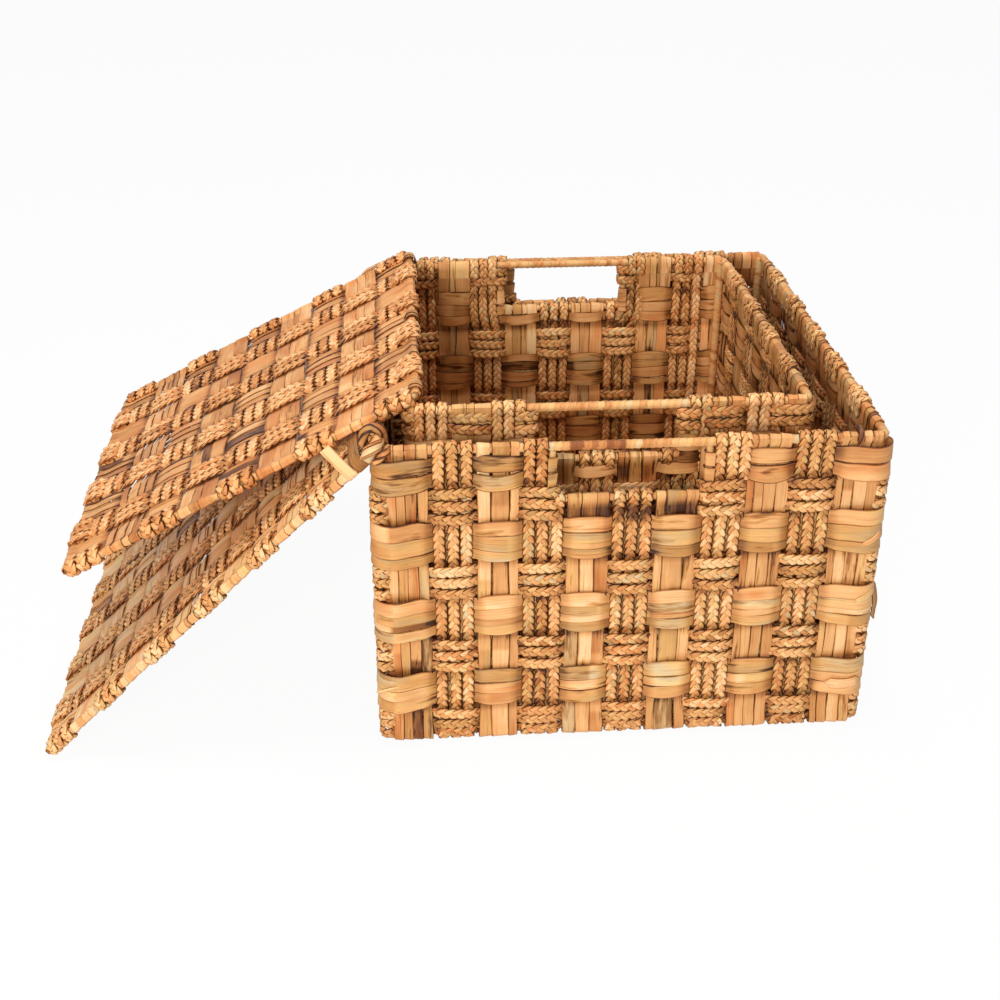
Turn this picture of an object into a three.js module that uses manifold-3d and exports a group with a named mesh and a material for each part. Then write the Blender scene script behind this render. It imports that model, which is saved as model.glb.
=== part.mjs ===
// A nested pair of woven leaf boxes with hinged lids.
// Millimetres, +Z up. The origin is the centre of the large box's base on the floor.
// The boxes open upwards, the lids hinge on the left walls and lie open to the left.
import * as THREE from "three";
import { mergeVertices } from "three/addons/utils/BufferGeometryUtils.js";
import Module from "manifold-3d";

const wasm = await Module();
wasm.setup();

// Driving dimensions of the two boxes
const boxHeight = 298;
const largeWidth = 430;
const largeDepth = 470;
const spareWidth = 80;
const spareDepth = 96;
const smallWidth = largeWidth - spareWidth;
const smallDepth = largeDepth - spareDepth;
const smallShiftX = -14;
const smallShiftY = 0;

// Driving dimensions of the two lids, between the centres of their edge wires
const largeLidShortfall = 22;
const smallLidShortfall = 2;
const largeLidLength = largeWidth - largeLidShortfall;
const smallLidLength = smallWidth - smallLidShortfall;
const largeLidStandOff = 6;
const smallLidOverhang = 6;

// Wires, walls and clearances
const clearance = 0.3;
const rimRadius = 4.5;
const rimCornerRadius = 8;
const baseWireRadius = 6;
const baseCornerRadius = 12;
const lidWireRadius = 4.7;
const lidCornerRadius = 9;
const crossWireRadius = 2;
const wallThickness = 10;
const baseThickness = 13;
const baseEdgeChamfer = 2;
const sideCornerMargin = 25;

// Weave: how far each strip stands above the slab behind it
const bandRise = 3;
const braidRise = 4.5;
const sunkBandRise = 0.6;
const sunkBraidRise = 2;
const stripShare = 0.9;
const weaveRows = 8;

// Handle slots in the front and back walls
const slotWidth = 118;
const slotDrop = 50;
const handleWireRadius = 3.5;
const handleCornerRadius = 7;

// Hinge ties and the loose leaf strip
const tieWidth = 14;
const tieThickness = 1.4;
const tieEndInset = 20;
const tieNotchDepth = 4;
const edgeStripWidth = 8;
const edgeStripThickness = 1;
const edgeStripReach = 27;
const edgeStripPlace = 20;

// Counts that set how finely round shapes are drawn
const wireSides = 8;
const cornerSteps = 3;
const arcSteps = 10;
const crossWireCount = 2;

// Share of the clearance within which two vertices are one
const sameVertexShare = 0.001;

// Where a hinge tie's band starts and ends round the rim wire, open at the top
const tieFromTurn = (17 / 18) * Math.PI;
const tieToTurn = (41 / 18) * Math.PI;

const leafBand = new THREE.MeshStandardMaterial({ color: 0xc8934f, roughness: 0.72, metalness: 0 });
const leafWrap = new THREE.MeshStandardMaterial({ color: 0xb9813f, roughness: 0.7, metalness: 0 });
const paleLeaf = new THREE.MeshStandardMaterial({ color: 0xe0bd82, roughness: 0.75, metalness: 0 });
const steelWire = new THREE.MeshStandardMaterial({ color: 0x5a5550, roughness: 0.45, metalness: 0.9 });

// Closed solids and cuts

function toSolid(geometry) {
  const bare = geometry.clone();
  bare.deleteAttribute("normal");
  bare.deleteAttribute("uv");
  const merged = mergeVertices(bare, clearance * sameVertexShare);
  return new wasm.Manifold(
    new wasm.Mesh({
      numProp: 3,
      vertProperties: merged.attributes.position.array,
      triVerts: new Uint32Array(merged.index.array),
    }),
  );
}

function toGeometry(solid) {
  const mesh = solid.getMesh();
  const points = new Float32Array(mesh.numVert * 3);
  for (let i = 0; i < mesh.numVert; i += 1) {
    const start = i * mesh.numProp;
    points.set(mesh.vertProperties.subarray(start, start + 3), i * 3);
  }
  const geometry = new THREE.BufferGeometry();
  geometry.setAttribute("position", new THREE.BufferAttribute(points, 3));
  geometry.setIndex(new THREE.BufferAttribute(mesh.triVerts, 1));
  geometry.computeVertexNormals();
  return geometry;
}

function cutAll(geometry, cutters) {
  let solid = toSolid(geometry);
  for (const cutter of cutters) solid = solid.subtract(toSolid(cutter));
  return toGeometry(solid);
}

function boxBetween(low, high) {
  const size = high.map((value, axis) => value - low[axis]);
  const middle = high.map((value, axis) => (value + low[axis]) / 2);
  return new THREE.BoxGeometry(...size).translate(...middle);
}

function fromTriangles(points, triangles) {
  const geometry = new THREE.BufferGeometry();
  geometry.setAttribute("position", new THREE.Float32BufferAttribute(points.flat(), 3));
  geometry.setIndex(triangles.flat());
  geometry.computeVertexNormals();
  return geometry;
}

// Wires: a round section swept along a path that lies in the XY plane, with mitred turns

function roundedRectangle(width, depth, radius) {
  const path = [];
  for (const [turn, sx, sy] of [[0, 1, 1], [1, -1, 1], [2, -1, -1], [3, 1, -1]]) {
    for (let step = 0; step <= cornerSteps; step += 1) {
      const angle = (Math.PI / 2) * (turn + step / cornerSteps);
      const x = sx * (width / 2 - radius) + radius * Math.cos(angle);
      const y = sy * (depth / 2 - radius) + radius * Math.sin(angle);
      path.push([x, y]);
    }
  }
  return path;
}

function sweptWire(path, radius, closed) {
  const points = [];
  const triangles = [];
  const count = path.length;
  const unit = (from, to) => {
    const length = Math.hypot(to[0] - from[0], to[1] - from[1]);
    return [(to[0] - from[0]) / length, (to[1] - from[1]) / length];
  };
  path.forEach((place, index) => {
    const before = closed || index > 0 ? unit(path[(index + count - 1) % count], place) : null;
    const after = closed || index < count - 1 ? unit(place, path[(index + 1) % count]) : null;
    const along = [
      (before ?? after)[0] + (after ?? before)[0],
      (before ?? after)[1] + (after ?? before)[1],
    ];
    const size = Math.hypot(...along);
    const side = [along[1] / size, -along[0] / size];
    const mitre = size / 2;
    for (let step = 0; step < wireSides; step += 1) {
      const angle = (2 * Math.PI * (step + 0.5)) / wireSides;
      const out = (radius * Math.cos(angle)) / mitre;
      points.push([place[0] + side[0] * out, place[1] + side[1] * out, radius * Math.sin(angle)]);
    }
  });
  const rings = closed ? count : count - 1;
  for (let ring = 0; ring < rings; ring += 1) {
    const next = (ring + 1) % count;
    for (let step = 0; step < wireSides; step += 1) {
      const across = (step + 1) % wireSides;
      const a = ring * wireSides + step;
      const b = ring * wireSides + across;
      const c = next * wireSides + across;
      const d = next * wireSides + step;
      triangles.push([a, c, b], [a, d, c]);
    }
  }
  if (!closed) {
    const last = (count - 1) * wireSides;
    for (let step = 1; step < wireSides - 1; step += 1) {
      triangles.push([0, step, step + 1], [last, last + step + 1, last + step]);
    }
  }
  return fromTriangles(points, triangles);
}

// Weave: a slab in the XY plane whose +Z face carries the checker of flat bands and braids

// Edges of the strips along one direction, cut to the stretch from low to high.
function stripEdges(low, high, count, start, pitch, firstIsBand) {
  const strips = [];
  const gap = (pitch * (1 - stripShare)) / 2;
  for (let index = 0; index < count; index += 1) {
    const from = index === 0 ? low : start + index * pitch + gap;
    const to = index === count - 1 ? high : start + (index + 1) * pitch - gap;
    const isBand = (index % 2 === 0) === firstIsBand;
    strips.push({ from, to, isBand });
  }
  return strips;
}

function wovenSlab(columns, rows, thickness, alikeOver) {
  const points = [];
  const triangles = [];
  const xs = columns.flatMap((strip) => [strip.from, strip.to]);
  const ys = rows.flatMap((strip) => [strip.from, strip.to]);
  ys.forEach((y, j) => {
    xs.forEach((x, i) => {
      const column = columns[Math.floor(i / 2)];
      const row = rows[Math.floor(j / 2)];
      const rowOver = (column.isBand === row.isBand) === alikeOver;
      const overRise = row.isBand ? bandRise : braidRise;
      const underRise = column.isBand ? sunkBandRise : sunkBraidRise;
      points.push([x, y, rowOver ? overRise : underRise]);
    });
  });
  const at = (i, j) => j * xs.length + i;
  for (let j = 0; j < ys.length - 1; j += 1) {
    for (let i = 0; i < xs.length - 1; i += 1) {
      triangles.push([at(i, j), at(i + 1, j), at(i + 1, j + 1)]);
      triangles.push([at(i, j), at(i + 1, j + 1), at(i, j + 1)]);
    }
  }
  const rim = [];
  for (let i = 0; i < xs.length - 1; i += 1) rim.push(at(i, 0));
  for (let j = 0; j < ys.length - 1; j += 1) rim.push(at(xs.length - 1, j));
  for (let i = xs.length - 1; i > 0; i -= 1) rim.push(at(i, ys.length - 1));
  for (let j = ys.length - 1; j > 0; j -= 1) rim.push(at(0, j));
  const back = points.length;
  rim.forEach((index) => points.push([points[index][0], points[index][1], -thickness]));
  const middle = points.length;
  points.push([(xs[0] + xs.at(-1)) / 2, (ys[0] + ys.at(-1)) / 2, -thickness]);
  rim.forEach((index, place) => {
    const next = (place + 1) % rim.length;
    triangles.push([index, back + place, back + next], [index, back + next, rim[next]]);
    triangles.push([middle, back + next, back + place]);
  });
  return fromTriangles(points, triangles);
}

// One box: base, base wire, corner posts, four woven walls, rim, handle wires and hinge ties

function addNode(group, name, geometry, material) {
  const mesh = new THREE.Mesh(geometry, material);
  mesh.name = name;
  group.add(mesh);
}

function handleWire() {
  const half = slotWidth / 2 + handleWireRadius;
  const top = boxHeight - 2 * rimRadius - clearance;
  const low = boxHeight - slotDrop - handleWireRadius;
  const path = [[-half, top]];
  for (const side of [-1, 1]) {
    for (let step = 0; step <= cornerSteps; step += 1) {
      const share = side < 0 ? step / cornerSteps : 1 - step / cornerSteps;
      const angle = (Math.PI / 2) * share;
      const x = side * (half - handleCornerRadius + handleCornerRadius * Math.cos(angle));
      const z = low + handleCornerRadius - handleCornerRadius * Math.sin(angle);
      path.push([x, z]);
    }
  }
  path.push([half, top]);
  return sweptWire(path, handleWireRadius, false).rotateX(Math.PI / 2);
}

function hingeTie() {
  const inner = rimRadius + clearance;
  const outer = inner + tieThickness;
  const outline = new THREE.Shape();
  outline.absarc(0, 0, outer, tieFromTurn, tieToTurn, false);
  outline.absarc(0, 0, inner, tieToTurn, tieFromTurn, true);
  const settings = { depth: tieWidth, bevelEnabled: false, curveSegments: arcSteps };
  return new THREE.ExtrudeGeometry(outline, settings)
    .translate(0, 0, -tieWidth / 2)
    .rotateX(Math.PI / 2);
}

function makeBox(prefix, width, depth, frontColumns, sideColumns, firstIsBand, alikeOver) {
  const group = new THREE.Group();
  const rimZ = boxHeight - rimRadius;
  const wallLow = baseThickness / 2 + baseWireRadius + clearance;
  const wallHigh = boxHeight - 2 * rimRadius - clearance;
  const slabBack = wallThickness - braidRise;

  const rim = sweptWire(
    roundedRectangle(width - 2 * rimRadius, depth - 2 * rimRadius, rimCornerRadius - rimRadius),
    rimRadius,
    true,
  );
  addNode(group, prefix + "_rim_wire", rim.translate(0, 0, rimZ), leafWrap);

  const baseWire = sweptWire(
    roundedRectangle(
      width - 2 * baseWireRadius,
      depth - 2 * baseWireRadius,
      baseCornerRadius - baseWireRadius,
    ),
    baseWireRadius,
    true,
  );
  addNode(group, prefix + "_base_wire", baseWire.translate(0, 0, baseThickness / 2), leafWrap);

  const floorInset = 2 * baseWireRadius + clearance;
  const floorHalfX = width / 2 - floorInset;
  const floorHalfY = depth / 2 - floorInset;
  const floorPlan = new THREE.Shape();
  floorPlan.moveTo(-floorHalfX + baseEdgeChamfer, -floorHalfY);
  floorPlan.lineTo(floorHalfX - baseEdgeChamfer, -floorHalfY);
  floorPlan.lineTo(floorHalfX, -floorHalfY + baseEdgeChamfer);
  floorPlan.lineTo(floorHalfX, floorHalfY - baseEdgeChamfer);
  floorPlan.lineTo(floorHalfX - baseEdgeChamfer, floorHalfY);
  floorPlan.lineTo(-floorHalfX + baseEdgeChamfer, floorHalfY);
  floorPlan.lineTo(-floorHalfX, floorHalfY - baseEdgeChamfer);
  floorPlan.lineTo(-floorHalfX, -floorHalfY + baseEdgeChamfer);
  const floor = new THREE.ExtrudeGeometry(floorPlan, { depth: baseThickness, bevelEnabled: false });
  addNode(group, prefix + "_base_weave", floor, leafBand);

  const postRadius = (wallThickness - clearance) / 2;
  const postHeight = wallHigh - wallLow;
  const postX = width / 2 - wallThickness / 2;
  const postY = depth / 2 - wallThickness / 2;
  const corners = [
    ["front_left", -1, -1],
    ["front_right", 1, -1],
    ["back_right", 1, 1],
    ["back_left", -1, 1],
  ];
  for (const [place, sx, sy] of corners) {
    const post = new THREE.CylinderGeometry(postRadius, postRadius, postHeight, wireSides)
      .rotateX(Math.PI / 2)
      .translate(sx * postX, sy * postY, (wallLow + wallHigh) / 2);
    addNode(group, prefix + "_corner_post_" + place, post, leafWrap);
  }

  const rowPitch = boxHeight / weaveRows;
  const rows = stripEdges(wallLow, wallHigh, weaveRows, 0, rowPitch, !firstIsBand);
  const wallEnd = wallThickness + clearance / 2;
  const frontHalf = width / 2 - wallEnd;
  const frontPitch = width / frontColumns;
  const front = stripEdges(-frontHalf, frontHalf, frontColumns, -width / 2, frontPitch, firstIsBand);
  const sideHalf = depth / 2 - wallEnd;
  const sideSpan = depth - 2 * sideCornerMargin;
  const sidePitch = sideSpan / sideColumns;
  const side = stripEdges(-sideHalf, sideHalf, sideColumns, -sideSpan / 2, sidePitch, true);

  const slotHalf = slotWidth / 2 + 2 * handleWireRadius + clearance;
  const slotLow = boxHeight - slotDrop - 2 * handleWireRadius - clearance;
  const slot = boxBetween(
    [-slotHalf, slotLow, -2 * wallThickness],
    [slotHalf, boxHeight, 2 * wallThickness],
  );
  const slottedWall = cutAll(wovenSlab(front, rows, slabBack, alikeOver), [slot]);
  const faceDepth = depth / 2 - braidRise;
  const frontWall = slottedWall.clone().rotateX(Math.PI / 2).translate(0, -faceDepth, 0);
  addNode(group, prefix + "_front_wall_weave", frontWall, leafBand);
  const backWall = frontWall.clone().rotateZ(Math.PI);
  addNode(group, prefix + "_back_wall_weave", backWall, leafBand);

  const tiePlaces = [
    ["front", -depth / 2 + tieEndInset],
    ["middle", 0],
    ["back", depth / 2 - tieEndInset],
  ];
  const sideSlab = wovenSlab(side, rows, slabBack, alikeOver)
    .rotateX(Math.PI / 2)
    .translate(0, -(width / 2 - braidRise), 0);
  addNode(group, prefix + "_right_wall_weave", sideSlab.clone().rotateZ(Math.PI / 2), leafBand);
  const notchHalf = tieWidth / 2 + clearance;
  const notches = tiePlaces.map(([, y]) =>
    boxBetween(
      [-width / 2 - wallThickness, y - notchHalf, wallHigh - tieNotchDepth],
      [-width / 2 + 2 * wallThickness, y + notchHalf, boxHeight],
    ),
  );
  const leftWall = cutAll(sideSlab.clone().rotateZ(-Math.PI / 2), notches);
  addNode(group, prefix + "_left_wall_weave", leftWall, leafBand);

  const handleY = depth / 2 - wallThickness / 2;
  addNode(group, prefix + "_front_handle_wire", handleWire().translate(0, -handleY, 0), leafWrap);
  addNode(group, prefix + "_back_handle_wire", handleWire().translate(0, handleY, 0), leafWrap);

  for (const [place, y] of tiePlaces) {
    const tie = hingeTie().translate(-width / 2 + rimRadius, y, rimZ);
    addNode(group, prefix + "_hinge_tie_" + place, tie, paleLeaf);
  }
  return group;
}

// One lid: edge wire, woven panel and two cross wires.
// It is drawn flat, with its hinge side wire at x = start and its underside facing down.

function makeLid(prefix, start, length, depth, columnCount, rowCount) {
  const group = new THREE.Group();
  const across = depth - 2 * lidWireRadius;
  const middle = start + length / 2;
  const edge = sweptWire(
    roundedRectangle(length, across, lidCornerRadius - lidWireRadius),
    lidWireRadius,
    true,
  );
  addNode(group, prefix + "_edge_wire", edge.translate(middle, 0, 0), leafWrap);

  const halfX = length / 2 - lidWireRadius - clearance;
  const halfY = across / 2 - lidWireRadius - clearance;
  const columns = stripEdges(
    -halfX,
    halfX,
    columnCount,
    -length / 2,
    length / columnCount,
    true,
  );
  const rows = stripEdges(-halfY, halfY, rowCount, -across / 2, across / rowCount, true);
  const faceDepth = lidWireRadius - clearance - braidRise;
  const slabBack = lidWireRadius - clearance + faceDepth;
  const panel = wovenSlab(columns, rows, slabBack, false)
    .rotateX(Math.PI)
    .translate(middle, 0, -faceDepth);
  const grooveHalf = crossWireRadius + clearance;
  const wireZ = lidWireRadius - clearance - crossWireRadius;
  const wirePlaces = [];
  for (let index = 1; index <= crossWireCount; index += 1) {
    wirePlaces.push(start + (index * length) / (crossWireCount + 1));
  }
  const grooves = wirePlaces.map((x) =>
    boxBetween(
      [x - grooveHalf, -across, wireZ - grooveHalf],
      [x + grooveHalf, across, 2 * lidWireRadius],
    ),
  );
  addNode(group, prefix + "_weave", cutAll(panel, grooves), leafBand);
  wirePlaces.forEach((x, index) => {
    const wire = new THREE.CylinderGeometry(crossWireRadius, crossWireRadius, 2 * halfY, wireSides);
    const name = prefix + "_cross_wire_" + (index + 1);
    addNode(group, name, wire.translate(x, 0, wireZ), steelWire);
  });
  return group;
}

// The loose strip of leaf that loops over the front edge of the large lid.
function edgeStrip(lidDepth) {
  const inner = lidWireRadius + clearance;
  const outer = inner + edgeStripThickness;
  const outline = new THREE.Shape();
  outline.moveTo(edgeStripReach, -outer);
  outline.lineTo(edgeStripReach, -inner);
  outline.lineTo(0, -inner);
  outline.absarc(0, 0, inner, (3 / 2) * Math.PI, Math.PI, true);
  outline.absarc(0, 0, outer, Math.PI, (3 / 2) * Math.PI, false);
  const settings = { depth: edgeStripWidth, bevelEnabled: false, curveSegments: arcSteps };
  return new THREE.ExtrudeGeometry(outline, settings)
    .translate(0, 0, -edgeStripWidth / 2)
    .rotateX(Math.PI / 2)
    .rotateZ(Math.PI / 2)
    .translate(edgeStripPlace, -lidDepth / 2 + lidWireRadius, 0);
}

// Where the lids lie: the small lid lies over both left rims, the large lid hangs under it
// from the large rim and leans with its far edge on the floor.

const smallBase = baseThickness + clearance;
const rimZ = boxHeight - rimRadius;
const largeRimX = -largeWidth / 2 + rimRadius;
const smallRimX = smallShiftX - smallWidth / 2 + rimRadius;
const smallRimZ = smallBase + rimZ;
const smallSlope = Math.atan2(smallRimZ - rimZ, smallRimX - largeRimX);
const smallHingeZ = smallRimZ + (rimRadius + clearance + lidWireRadius) / Math.cos(smallSlope);

const largeEdgeX = -largeWidth / 2 - largeLidStandOff;
const smallLidZThere = smallHingeZ + (largeEdgeX - smallRimX) * Math.tan(smallSlope);
const largeEdgeZ = smallLidZThere - (2 * lidWireRadius + clearance) / Math.cos(smallSlope);
const farEdgeZ = lidWireRadius + 2 * clearance;
const largeSlope = Math.asin((largeEdgeZ - farEdgeZ) / largeLidLength);

const pair = new THREE.Group();
pair.add(makeBox("large_box", largeWidth, largeDepth, 11, 11, true, true));

const smallBox = makeBox("small_box", smallWidth, smallDepth, 10, 9, false, false);
smallBox.position.set(smallShiftX, smallShiftY, smallBase);
pair.add(smallBox);

const smallLid = makeLid("small_lid", -smallLidOverhang, smallLidLength, smallDepth, 9, 9);
smallLid.position.set(smallRimX, smallShiftY, smallHingeZ);
smallLid.rotation.y = Math.PI - smallSlope;
pair.add(smallLid);

const largeLid = makeLid("large_lid", 0, largeLidLength, largeDepth, 11, 11);
addNode(largeLid, "large_lid_edge_strip", edgeStrip(largeDepth), paleLeaf);
largeLid.position.set(largeEdgeX, 0, largeEdgeZ);
largeLid.rotation.y = Math.PI - largeSlope;
pair.add(largeLid);

export default pair;
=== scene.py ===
import math
import bpy
import numpy as np
from mathutils import Euler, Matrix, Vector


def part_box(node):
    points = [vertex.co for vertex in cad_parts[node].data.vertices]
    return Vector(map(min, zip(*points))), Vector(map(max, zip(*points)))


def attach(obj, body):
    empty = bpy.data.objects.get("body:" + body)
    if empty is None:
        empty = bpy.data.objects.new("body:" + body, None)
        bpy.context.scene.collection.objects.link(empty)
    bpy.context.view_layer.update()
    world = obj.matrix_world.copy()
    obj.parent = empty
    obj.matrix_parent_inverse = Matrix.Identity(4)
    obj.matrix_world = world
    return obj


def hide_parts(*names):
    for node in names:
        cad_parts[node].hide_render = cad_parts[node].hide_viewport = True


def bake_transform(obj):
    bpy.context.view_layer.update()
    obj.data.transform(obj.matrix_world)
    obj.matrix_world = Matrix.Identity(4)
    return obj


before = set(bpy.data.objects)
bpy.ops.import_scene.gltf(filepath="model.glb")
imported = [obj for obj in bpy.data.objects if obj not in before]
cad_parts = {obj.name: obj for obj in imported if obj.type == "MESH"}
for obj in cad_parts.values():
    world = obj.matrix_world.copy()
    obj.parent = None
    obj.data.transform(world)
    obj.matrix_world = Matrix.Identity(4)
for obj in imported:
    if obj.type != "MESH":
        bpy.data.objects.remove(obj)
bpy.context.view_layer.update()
bpy.ops.object.select_all(action="DESELECT")
mm = 0.001

# The photographer's place: in front of the boxes, a little to the left and well above the rims,
# looking down into them.
camera_place = (-187.1 * mm, -1312.2 * mm, 823.9 * mm)
camera_pitch = 0.4903
camera_yaw = 0.06939
focal_length = 53.1
film_width = 36
view = bpy.data.cameras.new("camera")
view.lens = focal_length
view.sensor_width = film_width
camera = bpy.data.objects.new("camera", view)
camera.location = camera_place
camera.rotation_euler = Euler((math.pi / 2 - camera_pitch, 0, -camera_yaw))
bpy.context.scene.collection.objects.link(camera)
bpy.context.scene.camera = camera
bpy.context.scene.view_settings.view_transform = "Standard"

# The studio: a pale floor that the camera sees as nearly white and that keeps a soft shadow, a white
# surround, and two large soft lamps, one low beside the photographer and one overhead.
floor_size = 40.0
floor_colour = (0.88, 0.88, 0.88, 1)
floor_whiteness = 0.95
surround_light = 0.25
white = (1, 1, 1, 1)


class Shade:
    """A socket of a material's nodes, which takes part in sums."""

    def __init__(self, nodes, socket):
        self.nodes = nodes
        self.socket = socket

    def maths(operation, swapped=False):
        """Makes an operator, which adds a Math node for this socket and another value."""
        def result(self, other):
            pair = (other, self) if swapped else (self, other)
            return self.nodes.add("ShaderNodeMath", {"operation": operation}, *pair)
        return result

    __add__, __radd__ = maths("ADD"), maths("ADD", True)
    __sub__, __rsub__ = maths("SUBTRACT"), maths("SUBTRACT", True)
    __mul__, __rmul__ = maths("MULTIPLY"), maths("MULTIPLY", True)


class Finish:
    """A material under construction, whose add method makes any node."""

    def __init__(self, tree):
        self.tree = tree
        tree.nodes.clear()

    def add(self, kind, settings, *values, output=0, **named):
        node = self.tree.nodes.new(kind)
        for setting, value in settings.items():
            if setting == "stops":
                ramp = node.color_ramp.elements
                while len(ramp) < len(value):
                    ramp.new(1)
                for stop, (place, colour) in zip(ramp, value):
                    stop.position = place
                    stop.color = (*colour, 1)
            else:
                setattr(node, setting, value)
        sockets = list(zip(node.inputs, values))
        sockets += [(node.inputs[name.replace("_", " ")], value) for name, value in named.items()]
        for socket, value in sockets:
            if isinstance(value, Shade):
                self.tree.links.new(value.socket, socket)
            else:
                socket.default_value = value
        return Shade(self, node.outputs[output]) if len(node.outputs) else None


def new_finish(name):
    material = bpy.data.materials.new(name)
    material.use_nodes = True
    return material, Finish(material.node_tree)


def seen_as_white(nodes):
    """1 for the rays that show the surround itself: the camera's, and those of gloss and glass."""
    path = nodes.add("ShaderNodeLightPath", {})
    glossy = Shade(nodes, path.socket.node.outputs["Is Glossy Ray"])
    through = Shade(nodes, path.socket.node.outputs["Is Transmission Ray"])
    return nodes.add("ShaderNodeClamp", {}, path + glossy + through)


studio_finish, nodes = new_finish("studio_floor")
lit_floor = nodes.add("ShaderNodeBsdfDiffuse", {}, Color=floor_colour)
white_floor = nodes.add("ShaderNodeEmission", {}, Color=white, Strength=1)
whiteness = seen_as_white(nodes) * floor_whiteness
mixed = nodes.add("ShaderNodeMixShader", {}, whiteness, lit_floor, white_floor)
nodes.add("ShaderNodeOutputMaterial", {}, mixed)
bpy.ops.mesh.primitive_plane_add(size=floor_size, location=(0, 0, -0.5 * mm))
floor = bpy.context.object
floor.name = "studio_floor"
floor.data.materials.append(studio_finish)

world = bpy.data.worlds.new("studio")
world.use_nodes = True
bpy.context.scene.world = world
nodes = Finish(world.node_tree)
surround = nodes.add("ShaderNodeBackground", {}, Color=white, Strength=surround_light)
backdrop = nodes.add("ShaderNodeBackground", {}, Color=white, Strength=1)
camera_sees = nodes.add("ShaderNodeMixShader", {}, seen_as_white(nodes), surround, backdrop)
nodes.add("ShaderNodeOutputWorld", {}, camera_sees)


def soft_lamp(name, place, power, size):
    lamp = bpy.data.lights.new(name, "AREA")
    lamp.energy = power
    lamp.size = size
    lamp.color = (1, 0.98, 0.95)
    holder = bpy.data.objects.new(name, lamp)
    holder.location = place
    aim = -holder.location
    holder.rotation_euler = aim.to_track_quat("-Z", "Y").to_euler()
    bpy.context.scene.collection.objects.link(holder)


soft_lamp("key_lamp", (-0.95, -2.45, 1.15), power=50, size=0.8)
soft_lamp("top_lamp", (-0.1, -0.2, 2.8), power=47, size=0.9)

# Each box is woven on rods wound tightly with narrow leaf, each turn lying a little over the one
# before: the rim, the corner posts, a ring in the base, and a wire round each hand slot. They show bare
# above and round the slots.
rod_radius = 3.9 * mm
rim_overhang = 0.5 * mm
handle_rod_radius = 3.1 * mm
base_rod_radius = 2.4 * mm
base_ring_inset = 4.5 * mm
post_radius = 4.4 * mm
post_inset = 3.2 * mm
wrap_pitch = 6.0 * mm
wrap_step = 0.18
row_count = 8


def unit(vectors):
    return vectors / np.linalg.norm(vectors, axis=-1, keepdims=True)


def directions(line, closed):
    """The unit direction of a line at each of its points."""
    if closed:
        return unit(np.roll(line, -1, 0) - np.roll(line, 1, 0))
    return unit(np.gradient(line, axis=0))


def evenly(line, step, closed=False, whole=1):
    """A line's points spaced evenly, near the step asked for, in a multiple of whole steps."""
    if closed:
        line = np.vstack([line, line[:1]])
    strides = np.linalg.norm(np.diff(line[:, :3], axis=0), axis=1)
    gone = np.concatenate([[0], np.cumsum(strides)])
    count = max(1, round(gone[-1] / step / whole)) * whole
    places = np.linspace(0, gone[-1], count + 1)
    spaced = np.column_stack([np.interp(places, gone, column) for column in line.T])
    return spaced[:-1] if closed else spaced


def at_corners(shape, *values):
    """The values that the four corners of every face of a sweep have."""
    return np.stack([np.broadcast_to(value, shape) for value in values], -1)


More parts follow.
